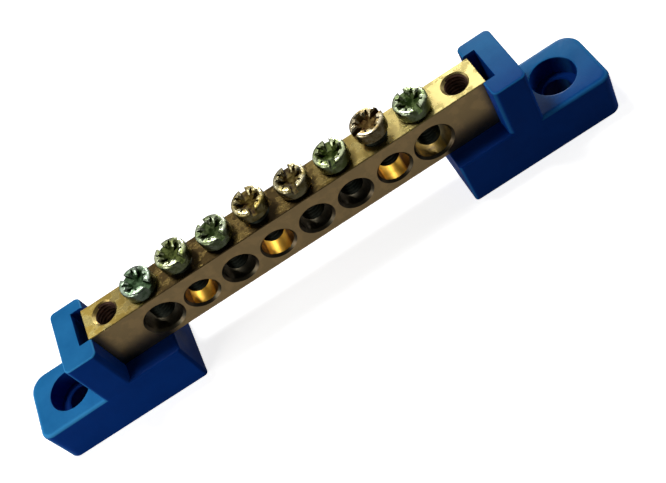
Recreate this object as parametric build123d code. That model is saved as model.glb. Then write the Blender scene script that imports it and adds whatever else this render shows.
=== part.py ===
from build123d import *
import os

# Neutral terminal bar: a drilled and tapped brass bar held at each end in a moulded plastic
# foot, with a row of clamp screws along its top. Millimetres, +Z up, the row of holes along X.
# The origin is on the surface the feet stand on, midway along the bar and midway across the feet.

# Row of holes: one clamp screw and one wire hole at each place, then one end hole past each end
pitch = 7.0
clamp_count = 8

# Brass bar
bar_width = 6.2
bar_height = 9.3
end_margin = 3.8
bar_edge_break = 0.12
wire_hole_height = 4.25
wire_hole_radius = 2.6
outer_wire_hole_radius = 3.0
wire_hole_chamfer = 0.4

# Thread shared by the clamp screws and the fixing screws, with its hole in the bar
thread_radius = 2.0
thread_clearance = 0.05
tapped_hole_chamfer = 0.2

# Clamp screws: a low cylinder head with a full-width slot and a cross recess, and a shank that
# stops short of the floor of its wire hole when the head is down on the bar
clamp_head_radius = 2.75
clamp_head_height = 2.2
clamp_head_chamfer = 0.3
clamp_tip_gap = 0.7
clamp_tip_chamfer = 0.3
clamp_slot_width = 0.9
clamp_slot_depth = 1.0
clamp_cross_reach = 2.05
clamp_cross_width = 0.85
clamp_cross_depth = 1.3

# How far each head stands above the bar and how its slot is turned, as the screws were left
head_lifts = [0.2, 1.1, 0.55, 1.35, 0.5, 0.45, 1.5, 0.35]
slot_turns = [130, 118, 112, 90, 85, 78, 19, 97]

# Moulded feet: a seat and a pocket for the end of the bar, and a lug with a fixing hole
foot_front_wall = 3.25
foot_back_wall = 2.4
pocket_side_gap = 0.25
pocket_end_gap = 1.5
pocket_end_wall = 3.55
arm_overlap = 0.6
foot_reach_under_bar = 9.75
seat_height = 8.95
foot_top_above_bar = 0.3
base_corner_radius = 0.6
seat_edge_chamfer = 0.3
upright_corner_radius = 0.9
upright_edge_chamfer = 0.3
lug_length = 11.85
lug_height = 8.25
lug_back_corner_radius = 3.0
lug_front_corner_radius = 1.8
lug_edge_round = 0.85
lug_hole_to_end = 6.8
lug_hole_radius = 2.3
lug_recess_radius = 3.65
lug_recess_depth = 3.5

# Fixing screws, driven up through each foot into the end holes of the bar
fixing_hole_clearance = 0.2
fixing_head_radius = 3.5
fixing_head_height = 2.4
fixing_head_gap = 0.3
fixing_recess_depth = 3.2
fixing_shank_length = 10.0
fixing_cross_reach = 1.8
fixing_cross_width = 1.0
fixing_cross_depth = 1.4

# Worked out from the sizes above
end_hole_x = pitch * (clamp_count + 1) / 2
bar_half_length = end_hole_x + end_margin
pocket_width = bar_width + 2 * pocket_side_gap
foot_width = foot_front_wall + pocket_width + foot_back_wall
foot_front_y = -foot_width / 2
foot_back_y = foot_width / 2
bar_y = foot_front_y + foot_front_wall + pocket_width / 2
bar_top = seat_height + bar_height
wire_hole_z = seat_height + wire_hole_height
clamp_shank_length = bar_height - wire_hole_height + wire_hole_radius - clamp_tip_gap
pocket_end_x = bar_half_length + pocket_end_gap
upright_outer_x = pocket_end_x + pocket_end_wall
upright_top = bar_top + foot_top_above_bar
arm_inner_x = bar_half_length - arm_overlap
base_inner_x = bar_half_length - foot_reach_under_bar
lug_outer_x = upright_outer_x + lug_length
lug_hole_x = lug_outer_x - lug_hole_to_end
tapped_hole_radius = thread_radius + thread_clearance
spare = 1.0


def block(x_min, x_max, y_min, y_max, z_min, z_max):
    middle = Pos((x_min + x_max) / 2, (y_min + y_max) / 2, (z_min + z_max) / 2)
    return middle * Box(x_max - x_min, y_max - y_min, z_max - z_min)


def rod(radius, z_min, z_max):
    return Pos(0, 0, (z_min + z_max) / 2) * Cylinder(radius, z_max - z_min)


def upright_edge(solid, x, y):
    """The vertical edge of a block at one corner of its plan."""
    return solid.edges().filter_by(Axis.Z).sort_by_distance((x, y, solid.center().Z))[0]


def top_edges(solid):
    return solid.faces().sort_by(Axis.Z)[-1].edges()


def turned(points):
    """A solid of revolution about Z from its half section, given as radius and height."""
    section = make_face(Polyline([(radius, 0, height) for radius, height in points], close=True))
    return revolve(section, Axis.Z)


def drilled_hole(radius, length, chamfer_size):
    """The cutter for a hole down from the origin, with its mouth chamfered."""
    mouth = radius + chamfer_size + spare
    return turned([(0, spare), (mouth, spare), (radius, -chamfer_size), (radius, -length), (0, -length)])


def clamp_places():
    """The X of each clamp screw, from left to right."""
    first = -pitch * (clamp_count - 1) / 2
    return [first + pitch * index for index in range(clamp_count)]


def brass_bar():
    bar = Pos(0, bar_y, seat_height + bar_height / 2) * Box(2 * bar_half_length, bar_width, bar_height)
    bar = chamfer(bar.edges().filter_by(Axis.X), bar_edge_break)
    places = clamp_places()
    bar_front = bar_y - bar_width / 2
    for place in places:
        outer = place in (places[0], places[-1])
        radius = outer_wire_hole_radius if outer else wire_hole_radius
        wire_hole = Rot(90, 0, 0) * drilled_hole(radius, bar_width + spare, wire_hole_chamfer)
        bar -= Pos(place, bar_front, wire_hole_z) * wire_hole
        bar -= Pos(place, bar_y, 0) * rod(tapped_hole_radius, wire_hole_z, bar_top + spare)
    end_hole = drilled_hole(tapped_hole_radius, bar_height + spare, tapped_hole_chamfer)
    for place in (-end_hole_x, end_hole_x):
        bar -= Pos(place, bar_y, bar_top) * end_hole
    return bar


def clamp_screw(place, lift, turn):
    """One clamp screw at its place on the bar, with the underside of its head at lift."""
    head = rod(clamp_head_radius, 0, clamp_head_height)
    head = chamfer(top_edges(head), clamp_head_chamfer)
    shank = rod(thread_radius, -clamp_shank_length, 0)
    shank = chamfer(shank.faces().sort_by(Axis.Z)[0].edges(), clamp_tip_chamfer)
    screw = head + shank
    slot_middle = Pos(0, 0, clamp_head_height - clamp_slot_depth / 2)
    screw -= slot_middle * Box(2 * clamp_head_radius + spare, clamp_slot_width, clamp_slot_depth)
    cross_middle = Pos(0, 0, clamp_head_height - clamp_cross_depth / 2)
    screw -= cross_middle * Box(clamp_cross_width, 2 * clamp_cross_reach, clamp_cross_depth)
    return Pos(place, bar_y, bar_top + lift) * Rot(0, 0, turn) * screw


def right_foot():
    base = block(base_inner_x, pocket_end_x, foot_front_y, foot_back_y, 0, seat_height)
    for y in (foot_front_y, foot_back_y):
        base = fillet(upright_edge(base, base_inner_x, y), base_corner_radius)
    base = chamfer(top_edges(base), seat_edge_chamfer)

    lug = block(pocket_end_x - spare, lug_outer_x, foot_front_y, foot_back_y, 0, lug_height)
    lug = fillet(upright_edge(lug, lug_outer_x, foot_front_y), lug_front_corner_radius)
    lug = fillet(upright_edge(lug, lug_outer_x, foot_back_y), lug_back_corner_radius)
    lug = fillet(top_edges(lug), lug_edge_round)

    upright = block(arm_inner_x, upright_outer_x, foot_front_y, foot_back_y, spare, upright_top)
    upright = fillet(upright.edges().filter_by(Axis.Z), upright_corner_radius)
    upright = chamfer(top_edges(upright), upright_edge_chamfer)

    foot = base + lug + upright
    pocket_front = bar_y - pocket_width / 2
    pocket_back = bar_y + pocket_width / 2
    pocket_roof = upright_top + spare
    foot -= block(arm_inner_x - spare, pocket_end_x, pocket_front, pocket_back, seat_height, pocket_roof)

    lug_hole = rod(lug_hole_radius, -spare, lug_height + spare)
    lug_recess = rod(lug_recess_radius, lug_height - lug_recess_depth, lug_height + spare)
    foot -= Pos(lug_hole_x, 0, 0) * (lug_hole + lug_recess)

    fixing_hole = rod(thread_radius + fixing_hole_clearance, -spare, seat_height + spare)
    head_recess = rod(fixing_head_radius + fixing_head_gap, -spare, fixing_recess_depth)
    foot -= Pos(end_hole_x, bar_y, 0) * (fixing_hole + head_recess)
    return foot


def right_fixing_screw():
    """A pan head screw, head down in the recess under the foot, reaching up into the bar."""
    head_bottom = fixing_recess_depth - fixing_head_height
    head = rod(fixing_head_radius, head_bottom, fixing_recess_depth)
    shank = rod(thread_radius, fixing_recess_depth, fixing_recess_depth + fixing_shank_length)
    screw = head + shank
    cross_middle = Pos(0, 0, head_bottom + fixing_cross_depth / 2)
    arm = Box(2 * fixing_cross_reach, fixing_cross_width, fixing_cross_depth)
    for turn in (0, 90):
        screw -= cross_middle * Rot(0, 0, turn) * arm
    return Pos(end_hole_x, bar_y, 0) * screw


os.makedirs("parts", exist_ok=True)
export_step(brass_bar(), "parts/brass_bar.step")
for number, place in enumerate(clamp_places()):
    lift = head_lifts[number % len(head_lifts)]
    turn = slot_turns[number % len(slot_turns)]
    export_step(clamp_screw(place, lift, turn), f"parts/clamp_screw_{number + 1}.step")
for name, piece in (("foot", right_foot()), ("fixing_screw", right_fixing_screw())):
    export_step(piece, f"parts/right_{name}.step")
    export_step(mirror(piece, about=Plane.YZ), f"parts/left_{name}.step")
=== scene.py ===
import math

import bmesh
import bpy
from mathutils import Matrix, Vector


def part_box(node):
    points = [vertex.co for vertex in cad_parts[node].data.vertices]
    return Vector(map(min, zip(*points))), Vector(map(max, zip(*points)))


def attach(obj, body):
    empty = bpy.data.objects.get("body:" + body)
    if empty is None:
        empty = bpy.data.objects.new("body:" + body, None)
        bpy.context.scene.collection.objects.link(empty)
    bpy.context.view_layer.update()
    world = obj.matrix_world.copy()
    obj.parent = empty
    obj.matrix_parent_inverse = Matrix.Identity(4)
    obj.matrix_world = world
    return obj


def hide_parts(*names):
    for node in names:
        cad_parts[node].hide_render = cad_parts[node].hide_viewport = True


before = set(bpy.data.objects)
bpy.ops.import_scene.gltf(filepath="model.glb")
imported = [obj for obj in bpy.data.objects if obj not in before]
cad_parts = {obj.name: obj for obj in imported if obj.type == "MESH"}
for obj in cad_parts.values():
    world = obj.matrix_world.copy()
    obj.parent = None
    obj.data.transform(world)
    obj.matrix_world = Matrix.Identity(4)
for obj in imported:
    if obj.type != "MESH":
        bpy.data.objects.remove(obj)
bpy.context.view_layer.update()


# Moulded feet
# Each foot is one moulding in blue plastic: a base under the end of the bar, an upright with a
# three-sided pocket, and a low lug with a counterbored fixing hole. The feet are mirror images.

# Sizes are in millimetres until a piece is finished, and in metres in a finished piece.
to_mm = 1000
foot_low, foot_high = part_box("right_foot")
bar_low, bar_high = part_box("brass_bar")
base_inner_x, lug_outer_x = foot_low.x * to_mm, foot_high.x * to_mm
foot_front_y, foot_back_y = foot_low.y * to_mm, foot_high.y * to_mm
upright_top = foot_high.z * to_mm
bar_half_length = bar_high.x * to_mm
bar_front, bar_back = bar_low.y * to_mm, bar_high.y * to_mm
bar_y = (bar_front + bar_back) / 2
seat_height, bar_top = bar_low.z * to_mm, bar_high.z * to_mm
end_hole_x = 31.5
base_corner_radius = 0.6
seat_edge_radius = 0.3
arm_inner_x = bar_half_length - 0.6
pocket_end_x = bar_half_length + 1.5
upright_outer_x = pocket_end_x + 3.55
pocket_gap = 0.25
upright_corner_radius = 0.9
upright_edge_radius = 0.35
lug_height = 8.25
lug_corners = ((foot_front_y, 1.8), (foot_back_y, 3.0))
lug_edge_radius = 0.85
lug_hole_x = 45.4
lug_hole_radius = 2.3
lug_recess_radius = 3.65
lug_recess_floor = 4.75
sole_recess_radius = 3.8
sole_recess_height = 3.2
screw_way_radius = 2.2
# How far a cutter reaches past its face, and how far joined blocks overlap.
spare = 1.0


def block(x_min, x_max, y_min, y_max, z_min, z_max):
    """A block from its limits."""
    solid = bmesh.new()
    bmesh.ops.create_cube(solid, size=1.0)
    bmesh.ops.scale(solid, vec=(x_max - x_min, y_max - y_min, z_max - z_min), verts=solid.verts)
    middle = ((x_min + x_max) / 2, (y_min + y_max) / 2, (z_min + z_max) / 2)
    bmesh.ops.translate(solid, vec=middle, verts=solid.verts)
    return solid


def round_edges(solid, edges, radius, segments):
    bmesh.ops.bevel(solid, geom=edges, affect="EDGES", offset=radius, offset_type="OFFSET",
                    segments=segments, profile=0.5, material=-1, clamp_overlap=True)


def round_upright_edge(solid, x, y, radius, segments=8):
    """Rounds the vertical edge that stands at one corner of the plan."""
    near = 0.01
    at_corner = [edge for edge in solid.edges
                 if all(abs(end.co.x - x) < near and abs(end.co.y - y) < near for end in edge.verts)]
    round_edges(solid, at_corner, radius, segments)


def round_top(solid, radius, segments=4):
    """Rounds the edges around the top face."""
    top = max(corner.co.z for corner in solid.verts)
    near = 0.001
    rim = [edge for edge in solid.edges if all(end.co.z > top - near for end in edge.verts)]
    round_edges(solid, rim, radius, segments)


def turned(section, steps=48):
    """A solid of revolution about Z from its half section, given as radius and height."""
    solid = bmesh.new()
    corners = [solid.verts.new((radius, 0, height)) for radius, height in section]
    sides = [solid.edges.new(pair) for pair in zip(corners, corners[1:])]
    bmesh.ops.spin(solid, geom=corners + sides, cent=(0, 0, 0), axis=(0, 0, 1), dvec=(0, 0, 0),
                   angle=math.tau, steps=steps, use_merge=True, use_normal_flip=False,
                   use_duplicate=False)
    bmesh.ops.remove_doubles(solid, verts=solid.verts, dist=0.0001)
    bmesh.ops.recalc_face_normals(solid, faces=solid.faces)
    return solid


def placed(solid, where, turn=None):
    """The solid turned about the origin and then moved."""
    if turn:
        bmesh.ops.transform(solid, matrix=turn, verts=solid.verts)
    bmesh.ops.translate(solid, vec=where, verts=solid.verts)
    return solid


def workpiece(solid):
    """An object that holds the solid while it is machined."""
    mesh = bpy.data.meshes.new("workpiece")
    solid.to_mesh(mesh)
    solid.free()
    holder = bpy.data.objects.new("workpiece", mesh)
    bpy.context.scene.collection.objects.link(holder)
    return holder


def machined(solid, tools, operation="DIFFERENCE"):
    """The solid cut by the tools, joined to them or kept only inside them."""
    stock = workpiece(solid)
    helpers = [workpiece(tool) for tool in tools]
    for helper in helpers:
        cut = stock.modifiers.new("cut", "BOOLEAN")
        cut.operation = operation
        cut.solver = "EXACT"
        cut.object = helper
    graph = bpy.context.evaluated_depsgraph_get()
    made = bpy.data.meshes.new_from_object(stock.evaluated_get(graph))
    result = bmesh.new()
    result.from_mesh(made)
    bpy.data.meshes.remove(made)
    for holder in [stock] + helpers:
        mesh = holder.data
        bpy.data.objects.remove(holder)
        bpy.data.meshes.remove(mesh)
    return result


def merge_slivers(solid):
    """Merges the faces of no area that machining leaves, so that the mesh is closed."""
    sliver = 0.0002
    bmesh.ops.triangulate(solid, faces=solid.faces)
    bmesh.ops.remove_doubles(solid, verts=solid.verts, dist=sliver)
    bmesh.ops.dissolve_degenerate(solid, edges=solid.edges, dist=sliver)
    bmesh.ops.triangulate(solid, faces=solid.faces)


def finished(name, solid, material):
    """The shown object: the solid in metres, smooth shaded with its corners kept."""
    corner_angle = math.radians(32)
    merge_slivers(solid)
    bmesh.ops.recalc_face_normals(solid, faces=solid.faces)
    bmesh.ops.scale(solid, vec=(1 / to_mm, 1 / to_mm, 1 / to_mm), verts=solid.verts)
    mesh = bpy.data.meshes.new(name)
    solid.to_mesh(mesh)
    solid.free()
    mesh.shade_smooth()
    mesh.set_sharp_from_angle(angle=corner_angle)
    mesh.materials.append(material)
    piece = bpy.data.objects.new(name, mesh)
    bpy.context.scene.collection.objects.link(piece)
    even = piece.modifiers.new("even_shading", "WEIGHTED_NORMAL")
    even.keep_sharp = True
    return piece


def add_node(tree, kind, inputs=None, **settings):
    """A node with its settings, and with each input set to a value or fed by a socket."""
    node = tree.nodes.new(kind)
    for key, value in settings.items():
        setattr(node, key, value)
    for key, value in (inputs or {}).items():
        if isinstance(value, bpy.types.NodeSocket):
            tree.links.new(value, node.inputs[key])
        else:
            node.inputs[key].default_value = value
    return node


def mixed(tree, amount, first, second):
    """The colour between two colours, by an amount from 0 to 1."""
    # A Mix node has sockets of one name for each kind of value: these are the colour ones.
    first_colour, second_colour, mixed_colour = 6, 7, 2
    node = add_node(tree, "ShaderNodeMix", {0: amount, first_colour: first, second_colour: second},
                    data_type="RGBA")
    return node.outputs[mixed_colour]


def ranged(tree, value, from_low, from_high, to_low=0.0, to_high=1.0):
    """The value taken from one range to another, and held inside it."""
    node = add_node(tree, "ShaderNodeMapRange", {
        "Value": value, "From Min": from_low, "From Max": from_high,
        "To Min": to_low, "To Max": to_high})
    return node.outputs["Result"]


def times(tree, first, second):
    return add_node(tree, "ShaderNodeMath", {0: first, 1: second}, operation="MULTIPLY").outputs[0]


def larger(tree, first, second):
    return add_node(tree, "ShaderNodeMath", {0: first, 1: second}, operation="MAXIMUM").outputs[0]


def unsigned(tree, value):
    """The value without its sign."""
    return add_node(tree, "ShaderNodeMath", {0: value}, operation="ABSOLUTE").outputs[0]


def place_on(tree):
    """The X, Y and Z of a place on the object, in metres."""
    place = add_node(tree, "ShaderNodeTexCoord").outputs["Object"]
    return add_node(tree, "ShaderNodeSeparateXYZ", {"Vector": place}).outputs


def facing_up(tree, start=0.2, full=0.95):
    """How far a face looks up, from 0 to 1 between two heights of its normal."""
    facing = add_node(tree, "ShaderNodeNewGeometry").outputs["Normal"]
    upward = add_node(tree, "ShaderNodeSeparateXYZ", {"Vector": facing}).outputs["Z"]
    return ranged(tree, upward, start, full)


def new_material(name):
    material = bpy.data.materials.new(name)
    material.use_nodes = True
    return material, material.node_tree, material.node_tree.nodes["Principled BSDF"]


def shader_group(name, inputs, outputs):
    """A node group with named sockets, for an effect that several materials share."""
    group = bpy.data.node_groups.new(name, "ShaderNodeTree")
    for way, sockets in (("INPUT", inputs), ("OUTPUT", outputs)):
        for label, kind in sockets.items():
            group.interface.new_socket(label, in_out=way, socket_type=kind)
    return group, add_node(group, "NodeGroupInput").outputs, add_node(group, "NodeGroupOutput").inputs


def worn_surface_group():
    """Irregular patches that change a material's colour and roughness."""
    tree, given, result = shader_group(
        "worn_surface",
        {"Clean Color": "NodeSocketColor", "Dirty Color": "NodeSocketColor",
         "Patch Scale": "NodeSocketFloat", "Patch Start": "NodeSocketFloat", "Patch End": "NodeSocketFloat",
         "Clean Roughness": "NodeSocketFloat", "Dirty Roughness": "NodeSocketFloat"},
        {"Color": "NodeSocketColor", "Roughness": "NodeSocketFloat"})
    place = add_node(tree, "ShaderNodeTexCoord").outputs["Object"]
    noise = add_node(tree, "ShaderNodeTexNoise", {
        "Vector": place, "Scale": given["Patch Scale"], "Detail": 4.0, "Roughness": 0.6})
    amount = ranged(tree, noise.outputs["Fac"], given["Patch Start"], given["Patch End"])
    tree.links.new(mixed(tree, amount, given["Clean Color"], given["Dirty Color"]), result["Color"])
    rough = ranged(tree, amount, 0.0, 1.0, given["Clean Roughness"], given["Dirty Roughness"])
    tree.links.new(rough, result["Roughness"])
    return tree


def fine_grain_group():
    """The height of fine marks, drawn out along an axis where the stretch is small."""
    tree, given, result = shader_group(
        "fine_grain",
        {"Stretch": "NodeSocketVector", "Grain Scale": "NodeSocketFloat", "Detail": "NodeSocketFloat"},
        {"Height": "NodeSocketFloat"})
    place = add_node(tree, "ShaderNodeTexCoord").outputs["Object"]
    drawn = add_node(tree, "ShaderNodeVectorMath", {0: place, 1: given["Stretch"]}, operation="MULTIPLY")
    noise = add_node(tree, "ShaderNodeTexNoise", {
        "Vector": drawn.outputs[0], "Scale": given["Grain Scale"], "Detail": given["Detail"]})
    tree.links.new(noise.outputs["Fac"], result["Height"])
    return tree


worn_surface = worn_surface_group()
fine_grain = fine_grain_group()


def wear(tree, shader, patch, rough, clean, dirty):
    """Patches from a scale, a start and an end, with the roughness and colour at both ends."""
    group = add_node(tree, "ShaderNodeGroup", {
        "Patch Scale": patch[0], "Patch Start": patch[1], "Patch End": patch[2],
        "Clean Roughness": rough[0], "Dirty Roughness": rough[1],
        "Clean Color": clean, "Dirty Color": dirty}, node_tree=worn_surface)
    tree.links.new(group.outputs["Color"], shader.inputs["Base Color"])
    tree.links.new(group.outputs["Roughness"], shader.inputs["Roughness"])


def grain(tree, shader, stretch, scale, strength):
    """Fine marks up to a tenth of a millimetre deep."""
    group = add_node(tree, "ShaderNodeGroup", {"Stretch": stretch, "Grain Scale": scale, "Detail": 3.0},
                     node_tree=fine_grain)
    bump = add_node(tree, "ShaderNodeBump", {
        "Height": group.outputs["Height"], "Strength": strength, "Distance": 0.1 / to_mm})
    tree.links.new(bump.outputs["Normal"], shader.inputs["Normal"])


# Each blue of the plastic, clean and stained. The side blues are its own colour; the others paint light and
# shade: painted shade on ledges and in recesses, a painted sheen on open tops, painted shade towards the
# front of the right foot's tops, painted highlights on rims and corners.
side_blues = ((0.0025, 0.049, 0.31, 1), (0.0040, 0.059, 0.36, 1))
painted_shade_blues = ((0.0011, 0.022, 0.145, 1), (0.0014, 0.027, 0.175, 1))
top_blues = ((0.012, 0.150, 0.385, 1), (0.018, 0.190, 0.455, 1))
front_top_shade_blues = ((0.001, 0.052, 0.250, 1), (0.002, 0.068, 0.295, 1))
edge_highlight_blues = ((0.040, 0.300, 0.66, 1), (0.055, 0.340, 0.70, 1))


def open_faces(tree, where, outward):
    """1 on the lug and at the top of the upright, and 0 on the seat, in the recess and below."""
    lug_start = (pocket_end_x + 1.0) / to_mm
    on_lug = ranged(tree, outward, lug_start, lug_start + 0.2 / to_mm)
    above_recess = ranged(tree, where["Z"], 5.5 / to_mm, 6.5 / to_mm)
    above_seat = ranged(tree, where["Z"], (bar_top - 2.0) / to_mm, (bar_top - 1.0) / to_mm)
    return larger(tree, times(tree, on_lug, above_recess), above_seat)


def edge_highlights(tree, where, open_face):
    """Where painted highlights go: the rounded rims of the open faces, more at the left, and the upright
    corners that look to the front left.
    """
    rim = times(tree, facing_up(tree, 0.2, 0.5), facing_up(tree, 0.985, 0.85))
    to_right = ranged(tree, where["X"], -30 / to_mm, 30 / to_mm, 0.8, 0.3)
    rim = times(tree, times(tree, rim, open_face), to_right)
    facing = add_node(tree, "ShaderNodeNewGeometry").outputs["Normal"]
    front_left = (-0.75, -0.66, 0.0)
    turned_left = add_node(tree, "ShaderNodeVectorMath", {0: facing, 1: front_left}, operation="DOT_PRODUCT")
    corner = ranged(tree, turned_left.outputs["Value"], 0.88, 0.99, 0.0, 0.4)
    return larger(tree, rim, corner)


def inside_lug_hole(tree, where, outward):
    """1 inside the counterbored holes, and 0 around them."""
    flat_place = add_node(tree, "ShaderNodeCombineXYZ", {"X": outward, "Y": where["Y"]}).outputs[0]
    hole_axis = (lug_hole_x / to_mm, 0.0, 0.0)
    off_axis = add_node(tree, "ShaderNodeVectorMath", {0: flat_place, 1: hole_axis}, operation="DISTANCE")
    wall = lug_recess_radius
    return ranged(tree, off_axis.outputs["Value"], (wall + 0.05) / to_mm, (wall - 0.05) / to_mm)


def blue_plastic():
    """Deep blue with painted light and shade: a painted sheen on the open upper faces, painted shade on the
    ledges, in the recesses and towards the front of the right foot's tops, and painted highlights on rims and
    corners.
    """
    material, tree, shader = new_material("blue_moulded_plastic")
    where = place_on(tree)
    outward = unsigned(tree, where["X"])
    open_face = open_faces(tree, where, outward)
    upper = facing_up(tree, 0.15, 0.8)
    # The open upward faces take the top blues, a painted sheen.
    pale = times(tree, upper, open_face)
    # Where the painted highlights lie.
    edge = edge_highlights(tree, where, open_face)
    # Painted shade on the upward faces that are not open, and inside the counterbored holes.
    painted_shade = larger(tree, upper, inside_lug_hole(tree, where, outward))
    # Painted shade on the right foot's tops, darker towards the front.
    on_right_foot = ranged(tree, where["X"], 20 / to_mm, 30 / to_mm)
    to_front = ranged(tree, where["Y"], -6 / to_mm, 3 / to_mm, 0.95, 0.1)
    front_top_shade = times(tree, on_right_foot, to_front)
    blues = []
    for side, painted_shade_side, top, dim_top, rim in zip(
            side_blues, painted_shade_blues, top_blues, front_top_shade_blues, edge_highlight_blues):
        sides = mixed(tree, painted_shade, side, painted_shade_side)
        tops = mixed(tree, front_top_shade, top, dim_top)
        blues.append(mixed(tree, edge, mixed(tree, pale, sides, tops), rim))
    wear(tree, shader, (160.0, 0.35, 0.65), (0.36, 0.5), *blues)
    grain(tree, shader, (1, 1, 1), 2600.0, 0.12)
    shader.inputs["Specular IOR Level"].default_value = 0.04
    return material


def foot_solid():
    """Base, lug and upright as one solid, before its pocket and holes."""
    base = block(base_inner_x, pocket_end_x, foot_front_y, foot_back_y, 0, seat_height)
    for y in (foot_front_y, foot_back_y):
        round_upright_edge(base, base_inner_x, y, base_corner_radius)
    round_top(base, seat_edge_radius)
    lug = block(pocket_end_x - spare, lug_outer_x, foot_front_y, foot_back_y, 0, lug_height)
    for y, radius in lug_corners:
        round_upright_edge(lug, lug_outer_x, y, radius, 12)
    round_top(lug, lug_edge_radius, 6)
    upright = block(arm_inner_x, upright_outer_x, foot_front_y, foot_back_y, spare, upright_top)
    for x in (arm_inner_x, upright_outer_x):
        for y in (foot_front_y, foot_back_y):
            round_upright_edge(upright, x, y, upright_corner_radius)
    round_top(upright, upright_edge_radius)
    return machined(base, [lug, upright], "UNION")


def right_foot():
    pocket = block(arm_inner_x - 2 * spare, pocket_end_x, bar_front - pocket_gap, bar_back + pocket_gap,
                   seat_height, upright_top + spare)
    wall, mouth = lug_recess_radius, lug_recess_radius + 0.3
    above = lug_height + 1.25
    hole = turned([
        (0, -spare), (lug_hole_radius, -spare), (lug_hole_radius, lug_recess_floor - 0.2),
        (lug_hole_radius + 0.2, lug_recess_floor), (wall, lug_recess_floor), (wall, lug_height - 0.25),
        (wall + 0.09, lug_height - 0.09), (mouth, lug_height), (mouth, above), (0, above)])
    screw_way = turned([
        (0, -spare), (sole_recess_radius, -spare), (sole_recess_radius, sole_recess_height),
        (screw_way_radius, sole_recess_height), (screw_way_radius, above), (0, above)])
    tools = [pocket, placed(hole, (lug_hole_x, 0, 0)), placed(screw_way, (end_hole_x, bar_y, 0))]
    return machined(foot_solid(), tools)


foot_plastic = blue_plastic()
for name, side in (("right_foot", 1), ("left_foot", -1)):
    moulding = right_foot()
    bmesh.ops.scale(moulding, vec=(side, 1, 1), verts=moulding.verts)
    foot = finished(name + "_moulding", moulding, foot_plastic)
    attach(foot, "bar_and_feet")
    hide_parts(name)


# Brass bar
# One length of square-edged brass, drilled from the front for eight wires, tapped from above
# for the clamp screws, and tapped right through near each end for the screws from below.

pitch = 7.0
clamp_places = [pitch * (place - 3.5) for place in range(8)]
bar_edge_break = 0.12
wire_hole_z = seat_height + 4.25
wire_hole_radii = [3.0] + [2.6] * 6 + [3.0]
wire_hole_chamfer = 0.4
wire_hole_depth = 7.2
tapped_hole_radius = 2.05
thread_pitch = 0.7
end_thread_root = 1.78
end_mouth_radius = 2.25
end_mouth_depth = 0.45
# The order in which the bar's materials are added to it.
outer_face, shaded_hole, lit_floor_hole, end_thread, part_lit_floor_hole = range(5)
# Each wire hole's material from the left: painted shade where its screw stands low, a painted pool of light
# on the floor where it stands high, painted light in patches in the eighth.
hole_finishes = [shaded_hole, lit_floor_hole, shaded_hole, lit_floor_hole,
                 shaded_hole, shaded_hole, lit_floor_hole, part_lit_floor_hole]

# Each tone of the brass, clean and stained.
side_brass = ((0.54, 0.37, 0.17, 1), (0.47, 0.33, 0.155, 1))
left_top_brass = ((0.95, 0.77, 0.27, 1), (0.44, 0.31, 0.07, 1))
right_top_brass = ((0.80, 0.66, 0.24, 1), (0.68, 0.55, 0.21, 1))
# The middle of the top: darker partly from soil and partly as painted shade between the screws.
middle_top_brass = ((0.38, 0.26, 0.085, 1), (0.060, 0.039, 0.014, 1))


def threaded_rod(crest, root, low, high, steps=28):
    """A rod with a right-hand thread, squared off at both ends. The thread starts at height 0."""
    rod = bmesh.new()
    first = math.floor(low / thread_pitch) - 1
    turns = math.ceil((high - low) / thread_pitch) + 3
    tooth = [(root, 0.0), (root, 0.125), (crest, 0.44), (crest, 0.56), (root, 0.875), (root, 1.0)]
    corners = [rod.verts.new((radius, 0, (first + rise) * thread_pitch)) for radius, rise in tooth]
    sides = [rod.edges.new(pair) for pair in zip(corners, corners[1:])]
    bmesh.ops.spin(rod, geom=corners + sides, cent=(0, 0, 0), axis=(0, 0, 1),
                   dvec=(0, 0, thread_pitch / steps), angle=math.tau * turns, steps=steps * turns,
                   use_merge=False, use_normal_flip=False, use_duplicate=False)
    bmesh.ops.remove_doubles(rod, verts=rod.verts, dist=0.0005)
    for height, away in ((low, -1), (high, 1)):
        everything = rod.verts[:] + rod.edges[:] + rod.faces[:]
        cut = bmesh.ops.bisect_plane(rod, geom=everything, dist=0.00001, plane_co=(0, 0, height),
                                     plane_no=(0, 0, away), clear_outer=True)
        rim = [part for part in cut["geom_cut"] if isinstance(part, bmesh.types.BMEdge)]
        bmesh.ops.contextual_create(rod, geom=rim)
    bmesh.ops.recalc_face_normals(rod, faces=rod.faces)
    return rod


def brass():
    """Sawn and drawn brass, darker along the middle of its top between the screws, partly from soil and
    partly as painted shade.
    """
    material, tree, shader = new_material("machined_brass")
    along = place_on(tree)["X"]
    past_left_end = ranged(tree, along, -36 / to_mm, -22 / to_mm)
    before_right_end = ranged(tree, along, 5 / to_mm, 24 / to_mm, 1.0, 0.0)
    # Partly soil, partly painted shade, along the middle of the top.
    darkened = times(tree, past_left_end, before_right_end)
    up = facing_up(tree)
    to_right = ranged(tree, along, 10 / to_mm, 26 / to_mm)
    tones = []
    for side, left, right, middle in zip(side_brass, left_top_brass, right_top_brass, middle_top_brass):
        top = mixed(tree, darkened, mixed(tree, to_right, left, right), middle)
        tones.append(mixed(tree, up, side, top))
    clean_roughness = ranged(tree, up, 0.0, 1.0, 0.3, 0.22)
    wear(tree, shader, (430.0, 0.42, 0.52), (clean_roughness, 0.34), *tones)
    grain(tree, shader, (0.3, 1, 1), 3600.0, ranged(tree, up, 0.0, 1.0, 0.06, 0.25))
    shader.inputs["Metallic"].default_value = 1.0
    return material


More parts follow.
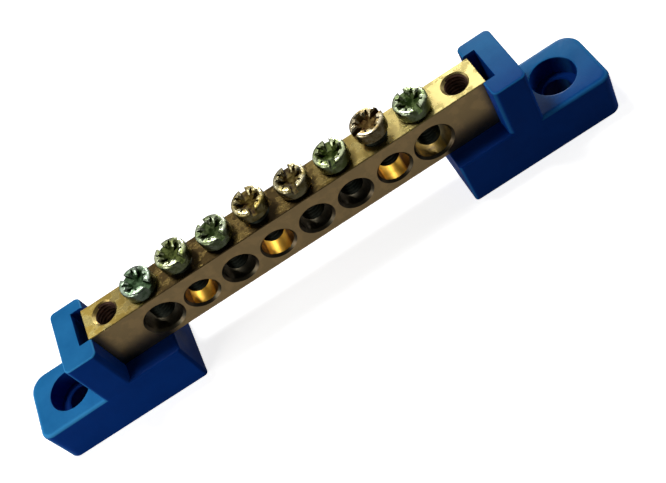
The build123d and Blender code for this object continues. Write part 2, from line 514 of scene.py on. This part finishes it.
def hole_brass(name, walls, floors):
    """The inside of a wire hole: its walls dark as painted shade, and the low part of its floor in the
    floors' colours, a painted pool of light where these are bright.
    """
    material, tree, shader = new_material(name)
    where = place_on(tree)
    low = ranged(tree, where["Z"], (wire_hole_z - 1.35) / to_mm, (wire_hole_z - 1.6) / to_mm)
    in_pitches = times(tree, where["X"], to_mm / pitch)
    across = add_node(tree, "ShaderNodeMath", {0: in_pitches}, operation="FRACT").outputs[0]
    # The low part of the floor, where a bright floor colour paints a pool of light.
    lit_floor = times(tree, low, ranged(tree, across, 0.67, 0.73, 1.0, 0.0))
    tones = [mixed(tree, lit_floor, wall, floor) for wall, floor in zip(walls, floors)]
    wear(tree, shader, (420.0, 0.4, 0.65), (0.3, 0.42), *tones)
    grain(tree, shader, (0.1, 1, 0.1), 4200.0, 0.2)
    shader.inputs["Metallic"].default_value = 1.0
    return material


def dark_thread(name, clean, dirty):
    """Dark threads, painted shade for the inside of the holes they stand in."""
    material, tree, shader = new_material(name)
    wear(tree, shader, (600.0, 0.4, 0.6), (0.35, 0.5), clean, dirty)
    grain(tree, shader, (1, 1, 1), 4200.0, 0.15)
    shader.inputs["Metallic"].default_value = 1.0
    return material


def bar_finish(middle):
    """Which of the bar's materials a face takes, from the middle of the face."""
    near = bar_edge_break + 0.01
    outside = ((0, -bar_half_length), (0, bar_half_length), (1, bar_front), (1, bar_back),
               (2, seat_height), (2, bar_top))
    if any(abs(middle[axis] - at) <= near for axis, at in outside):
        return outer_face
    if abs(middle.x) > end_hole_x - 2.5:
        below_mouth = middle.z < bar_top - 0.3
        return end_thread if below_mouth else outer_face
    past_chamfer = bar_front + wire_hole_chamfer + 0.02
    place = round(middle.x / pitch + 3.5)
    # The mouths' chamfers take the painted shade of the darkest holes.
    return hole_finishes[place] if middle.y > past_chamfer else shaded_hole


def drilled_bar():
    bar = block(-bar_half_length, bar_half_length, bar_front, bar_back, seat_height, bar_top)
    round_edges(bar, bar.edges[:], bar_edge_break, 1)
    above = bar_top + spare
    from_the_front = Matrix.Rotation(math.pi / 2, 4, "X")
    tools = []
    for place, radius in zip(clamp_places, wire_hole_radii):
        mouth_radius = radius + wire_hole_chamfer + spare
        wire_hole = turned([(0, spare), (mouth_radius, spare), (radius, -wire_hole_chamfer),
                            (radius, -wire_hole_depth), (0, -wire_hole_depth)], 64)
        tools.append(placed(wire_hole, (place, bar_front, wire_hole_z), from_the_front))
        screw_hole = turned([(0, wire_hole_z), (tapped_hole_radius, wire_hole_z), (tapped_hole_radius, above),
                             (0, above)], 40)
        tools.append(placed(screw_hole, (place, bar_y, 0)))
    for x in (-end_hole_x, end_hole_x):
        thread = threaded_rod(tapped_hole_radius, end_thread_root, seat_height - spare, above)
        tools.append(placed(thread, (x, bar_y, 0)))
        mouth_floor = bar_top - end_mouth_depth
        mouth = turned([(0, mouth_floor), (end_mouth_radius - end_mouth_depth, mouth_floor),
                        (end_mouth_radius, bar_top), (end_mouth_radius, above), (0, above)], 40)
        tools.append(placed(mouth, (x, bar_y, 0)))
    bar = machined(bar, tools)
    for face in bar.faces:
        face.material_index = bar_finish(face.calc_center_median())
    return bar


bar = finished("drilled_brass_bar", drilled_bar(), brass())
# Painted shade in the holes whose screws stand low.
bar.data.materials.append(hole_brass(
    "shaded_hole",
    walls=((0.10, 0.075, 0.045, 1), (0.05, 0.045, 0.03, 1)),
    floors=((0.09, 0.075, 0.045, 1), (0.05, 0.045, 0.03, 1))))
# Painted shade on the walls and a painted pool of light on the floor, in the holes whose screws stand high.
bar.data.materials.append(hole_brass(
    "lit_floor_hole",
    walls=((0.10, 0.048, 0.018, 1), (0.05, 0.026, 0.012, 1)),
    floors=((0.90, 0.52, 0.07, 1), (0.70, 0.38, 0.05, 1))))
# Painted shade in the tapped end holes.
bar.data.materials.append(dark_thread(
    "shaded_brass_thread", clean=(0.13, 0.070, 0.048, 1), dirty=(0.065, 0.036, 0.028, 1)))
# Painted shade on the walls and painted light in patches on the floor of the eighth hole.
bar.data.materials.append(hole_brass(
    "part_lit_floor_hole",
    walls=((0.15, 0.12, 0.055, 1), (0.07, 0.058, 0.03, 1)),
    floors=((0.50, 0.34, 0.08, 1), (0.13, 0.09, 0.035, 1))))
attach(bar, "bar_and_feet")
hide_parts("brass_bar")


# Clamp screws
# Eight steel screws with a low round head, a slot right across it, a cross recess and four short
# marks between its arms, zinc plated and passivated, so that each has its own green or yellow tint.

head_radius = 2.75
head_height = 2.2
neck_radius = 1.6
shank_length = 6.95
thread_crest = 1.97
clamp_thread_root = 1.66
# How wide the edges of the slot and of the cross are broken, and how far the cutters stand clear.
mouth_break = 0.26
clear = 0.5
slot_half_width, slot_depth = 0.45, 1.0
cross_half_width, cross_reach, cross_depth, cross_taper = 0.42, 1.9, 1.15, 0.75
mark_reach, mark_half_width, mark_depth = 2.15, 0.17, 0.55
slot_turns = [130, 118, 112, 90, 85, 78, 19, 97]
head_tints = [
    (0.58, 0.74, 0.53), (0.66, 0.72, 0.38), (0.64, 0.73, 0.46), (0.74, 0.62, 0.28),
    (0.74, 0.64, 0.34), (0.64, 0.73, 0.36), (0.82, 0.67, 0.38), (0.64, 0.75, 0.44)]
# How bright and how full the tint is on the sides and on top: first clean, then stained. The darker sides are
# painted shade.
plate_levels = (((0.28, 1.0), (0.92, 0.7)), ((0.20, 1.6), (0.5, 1.6)))
# The order in which a screw's materials are added to it.
outer_plate, darkened_recess, shank_finish = range(3)


def shade(tint, level, depth=1.0):
    """A tint made darker by a level, and fuller by a depth above 1."""
    return tuple(level * channel ** depth for channel in tint) + (1,)


def plated_steel(name, tint, level=1.0, rough=(0.22, 0.34), metallic=1.0):
    """Zinc plating with a tint of its own, with painted shade on its sides, and stained in patches."""
    material, tree, shader = new_material(name)
    up = facing_up(tree)
    # The sides take painted shade, the tops the brighter tone.
    tones = [mixed(tree, up, *(shade(tint, bright * level, depth) for bright, depth in sides_and_top))
             for sides_and_top in plate_levels]
    wear(tree, shader, (900.0, 0.42, 0.58), rough, *tones)
    grain(tree, shader, (1, 1, 1), 1900.0, 0.9)
    shader.inputs["Metallic"].default_value = metallic
    shader.inputs["Specular IOR Level"].default_value = 0.5 * metallic
    return material


def upright_turn(degrees):
    return Matrix.Rotation(math.radians(degrees), 4, "Z")


def recess_cutter(x, y, depth, taper=1.0):
    """A cutter for a slot in the top of a head, with the edges of its mouth broken."""
    cutter = block(-x, x, -y, y, head_height - depth, head_height + clear)
    everything = cutter.verts[:] + cutter.edges[:] + cutter.faces[:]
    bmesh.ops.bisect_plane(cutter, geom=everything, dist=0.00001,
                           plane_co=(0, 0, head_height - mouth_break), plane_no=(0, 0, 1))
    flare = clear + mouth_break
    above_mouth = [corner for corner in cutter.verts if corner.co.z > head_height]
    below_mouth = [corner for corner in cutter.verts if corner.co.z < head_height - mouth_break - 0.01]
    bmesh.ops.scale(cutter, vec=((x + flare) / x, (y + flare) / y, 1), verts=above_mouth)
    bmesh.ops.scale(cutter, vec=(1, taper, 1), verts=below_mouth)
    return cutter


def clamp_screw_blank():
    """A head on its threaded shank, before the head is cut."""
    head = turned([
        (0, -0.3), (neck_radius, -0.3), (neck_radius, 0), (2.62, 0), (head_radius, 0.12), (head_radius, 1.68),
        (2.72, 1.87), (2.64, 2.02), (2.52, 2.12), (2.35, 2.18), (2.1, head_height), (0, head_height)], 64)
    tip = -shank_length
    shank = threaded_rod(thread_crest, clamp_thread_root, tip, 0.4)
    cone = turned([(0, tip), (1.7, tip), (2.1, tip + 0.4), (2.1, 1), (0, 1)], 40)
    shank = machined(shank, [cone], "INTERSECT")
    return machined(head, [shank], "UNION")


def clamp_screw():
    """One clamp screw upright, with the underside of its head at height 0."""
    centre = turned([
        (0, 0.75), (0.55, 0.9), (1.3, 1.6), (1.85, head_height + 0.15), (1.85, head_height + clear),
        (0, head_height + clear)], 32)
    cutters = [recess_cutter(4, slot_half_width, slot_depth),
               recess_cutter(cross_half_width, cross_reach, cross_depth, cross_taper), centre]
    for turn in (45, 135):
        mark = block(-mark_reach, mark_reach, -mark_half_width, mark_half_width,
                     head_height - mark_depth, head_height + clear)
        cutters.append(placed(mark, (0, 0, 0), upright_turn(turn)))
    screw = machined(clamp_screw_blank(), cutters)
    for face in screw.faces:
        middle = face.calc_center_median()
        below_mouth = 0 < middle.z < head_height - mouth_break
        if middle.z < -0.001:
            face.material_index = shank_finish
        # The faces inside the slot and the cross take painted shade.
        elif below_mouth and middle.xy.length < 2.6:
            face.material_index = darkened_recess
        else:
            face.material_index = outer_plate
    return screw


# Painted shade on the shanks, which stand in the holes.
shank_thread = dark_thread("shaded_steel_thread", clean=(0.075, 0.08, 0.06, 1), dirty=(0.035, 0.045, 0.035, 1))
screw_pattern = clamp_screw()
for number, (x, turn, tint) in enumerate(zip(clamp_places, slot_turns, head_tints), start=1):
    node = f"clamp_screw_{number}"
    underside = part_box(node)[1].z * to_mm - head_height
    solid = placed(screw_pattern.copy(), (x, bar_y, underside), upright_turn(turn))
    screw = finished(node + "_plated", solid, plated_steel(f"zinc_plate_{number}", tint))
    # Painted shade in the slot and the cross: a darker, fuller tint, less metallic.
    darkened = [channel ** 3.2 for channel in tint]
    screw.data.materials.append(plated_steel(f"darkened_recess_{number}", darkened, 0.34, (0.6, 0.7), 0.25))
    screw.data.materials.append(shank_thread)
    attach(screw, node)
    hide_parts(node)
screw_pattern.free()


# Fixing screws
# One pan head screw at each end, driven up from a recess in the sole of the foot into the
# end hole of the bar, and plated as the clamp screws are.

fixing_head_bottom = sole_recess_height - 2.4
fixing_head_top = sole_recess_height
fixing_tip = 13.2
fixing_thread_root = 1.7
fixing_cross_depth = 1.4
fixing_cross_arms = ((1.8, 0.5), (0.5, 1.8))
fixing_plate = plated_steel("zinc_plate_fixing", (0.70, 0.68, 0.46))


def fixing_screw():
    """The screw as it stands in the foot, its head down."""
    low, top = fixing_head_bottom, fixing_head_top
    head = turned([
        (0, low), (1.9, low), (2.7, low + 0.08), (3.2, low + 0.35), (3.45, low + 0.8), (3.5, low + 1.3),
        (3.5, top - 0.1), (3.4, top), (neck_radius, top), (neck_radius, top + 0.4), (0, top + 0.4)], 64)
    shank = threaded_rod(thread_crest, fixing_thread_root, top - 0.2, fixing_tip)
    cone = turned([(0, 2), (2.1, 2), (2.1, fixing_tip - 0.7), (1.4, fixing_tip), (0, fixing_tip)], 40)
    shank = machined(shank, [cone], "INTERSECT")
    screw = machined(head, [shank], "UNION")
    arms = [block(-x, x, -y, y, low - spare, low + fixing_cross_depth) for x, y in fixing_cross_arms]
    return machined(screw, arms)


for node, x in (("right_fixing_screw", end_hole_x), ("left_fixing_screw", -end_hole_x)):
    screw = finished(node + "_plated", placed(fixing_screw(), (x, bar_y, 0)), fixing_plate)
    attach(screw, "bar_and_feet")
    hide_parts(node)


# Floor
# A plain pale floor that shows white and keeps the shadow of the part. The metal mirrors it dim,
# and it throws little light up at the part.

floor_half_width = 2.0
unseen_grey, seen_grey = (0.12, 0.12, 0.12, 1), (0.9, 0.9, 0.9, 1)
floor_glow = 0.8
mirrored_share = 0.13

floor_mesh = bpy.data.meshes.new("floor")
floor_sheet = bmesh.new()
bmesh.ops.create_grid(floor_sheet, x_segments=1, y_segments=1, size=floor_half_width)
floor_sheet.to_mesh(floor_mesh)
floor_sheet.free()
floor = bpy.data.objects.new("floor", floor_mesh)
bpy.context.scene.collection.objects.link(floor)
floor_paint, tree, shader = new_material("pale_floor")
path = add_node(tree, "ShaderNodeLightPath").outputs
mirrored = times(tree, path["Is Glossy Ray"], mirrored_share)
seen = larger(tree, larger(tree, path["Is Camera Ray"], mirrored), path["Is Transmission Ray"])
tree.links.new(mixed(tree, seen, unseen_grey, seen_grey), shader.inputs["Base Color"])
shader.inputs["Roughness"].default_value = 0.9
shader.inputs["Specular IOR Level"].default_value = 0.0
shader.inputs["Emission Color"].default_value = (1, 1, 1, 1)
tree.links.new(times(tree, seen, floor_glow), shader.inputs["Emission Strength"])
floor_mesh.materials.append(floor_paint)


# Light
# A soft key lamp high up at the back left, a weak lamp low at each side, and a small lamp behind
# that only gleams in the metal. The metal mirrors a room with light and dark walls.

def soft_lamp(name, direction, distance, size, power):
    """A square lamp that shines at the middle of the bar from a direction."""
    lamp = bpy.data.lights.new(name, "AREA")
    lamp.shape = "SQUARE"
    lamp.size = size
    lamp.energy = power
    holder = bpy.data.objects.new(name, lamp)
    toward = Vector(direction).normalized()
    holder.location = toward * distance + Vector((0, 0, 0.01))
    holder.rotation_euler = toward.to_track_quat("Z", "Y").to_euler()
    bpy.context.scene.collection.objects.link(holder)
    return holder


soft_lamp("key_lamp", (-0.2, 0.32, 1.0), distance=0.42, size=0.1, power=1.1)
soft_lamp("left_lamp", (-0.9, -0.42, 0.25), distance=0.17, size=0.1, power=0.1)
right_lamp = soft_lamp("right_lamp", (1.0, 0.05, 0.3), distance=0.22, size=0.1, power=0.08)
right_lamp.visible_glossy = False
back_lamp = soft_lamp("back_lamp", (0.35, 1.0, 0.41), distance=0.5, size=0.06, power=2.4)
back_lamp.visible_diffuse = False

# How pale the room's walls are from left to right, as the metal mirrors them.
wall_greys = ((-0.48, 0.76), (-0.36, 0.72), (-0.29, 0.12), (-0.22, 0.03), (-0.13, 0.02), (-0.06, 0.04),
              (0.0, 0.4), (0.045, 0.9), (0.09, 0.55), (0.2, 0.55), (0.48, 0.7))
ceiling_grey = 0.85
# How much the room lights the part, apart from what the metal mirrors.
room_light = 0.035


def mixed_level(tree, amount, first, second):
    """The number between two numbers, by an amount from 0 to 1."""
    return add_node(tree, "ShaderNodeMix", {0: amount, 2: first, 3: second}, data_type="FLOAT").outputs[0]


def wall_ramp(tree, ways):
    """The grey of the wall in a direction, from its X."""
    walls = add_node(tree, "ShaderNodeValToRGB", {0: ranged(tree, ways["X"], -0.5, 0.5)})
    ramp = walls.color_ramp
    ramp.interpolation = "B_SPLINE"
    for side, grey in wall_greys:
        stop = ramp.elements.new(side + 0.5)
        stop.color = (grey, grey, grey, 1)
    # The two stops that every new ramp has.
    ramp.elements.remove(ramp.elements[0])
    ramp.elements.remove(ramp.elements[-1])
    return walls.outputs["Color"]


def mirrored_room(tree):
    """What the metal mirrors: the walls behind the part, darker in front and low down, and a ceiling."""
    way = add_node(tree, "ShaderNodeTexCoord").outputs["Generated"]
    ways = add_node(tree, "ShaderNodeSeparateXYZ", {"Vector": way}).outputs
    behind = ranged(tree, ways["Y"], -0.1, 0.3, 0.12, 1.0)
    lifted = add_node(tree, "ShaderNodeMath", {0: unsigned(tree, ways["X"]), 1: 0.6, 2: ways["Z"]},
                      operation="MULTIPLY_ADD").outputs[0]
    above = ranged(tree, lifted, 0.38, 0.62, 0.08, 1.0)
    walls = times(tree, wall_ramp(tree, ways), times(tree, behind, above))
    ceiling = ranged(tree, ways["Z"], 0.86, 0.95, 0.0, ceiling_grey)
    return larger(tree, walls, ceiling)


room = bpy.data.worlds.new("pale_room")
bpy.context.scene.world = room
room.use_nodes = True
tree = room.node_tree
path = add_node(tree, "ShaderNodeLightPath").outputs
seen = larger(tree, path["Is Camera Ray"], path["Is Transmission Ray"])
level = mixed_level(tree, path["Is Glossy Ray"], room_light, mirrored_room(tree))
background = tree.nodes["Background"].inputs
tree.links.new(mixed_level(tree, seen, level, 1.0), background["Strength"])
background["Color"].default_value = (1, 1, 1, 1)


# Camera
# Above and in front of the right foot, turned so that the bar climbs from lower left to upper
# right, as the part was photographed.

camera_data = bpy.data.cameras.new("camera")
camera_data.sensor_fit = "HORIZONTAL"
camera_data.sensor_width = 36.0
camera_data.lens = 55.70
camera_data.clip_start = 0.01
camera_data.clip_end = 10.0
camera = bpy.data.objects.new("camera", camera_data)
eye = (0.01595, -0.105955, 0.12952)
right = Vector((0.83716, -0.37273, -0.40031)).normalized()
forward = Vector((-0.07932, 0.64140, -0.76309)).normalized()
up = right.cross(forward)
turn = Matrix((right, up, -forward)).transposed().to_4x4()
camera.matrix_world = Matrix.Translation(eye) @ turn
bpy.context.scene.collection.objects.link(camera)
bpy.context.scene.camera = camera
bpy.context.scene.view_settings.view_transform = "Standard"
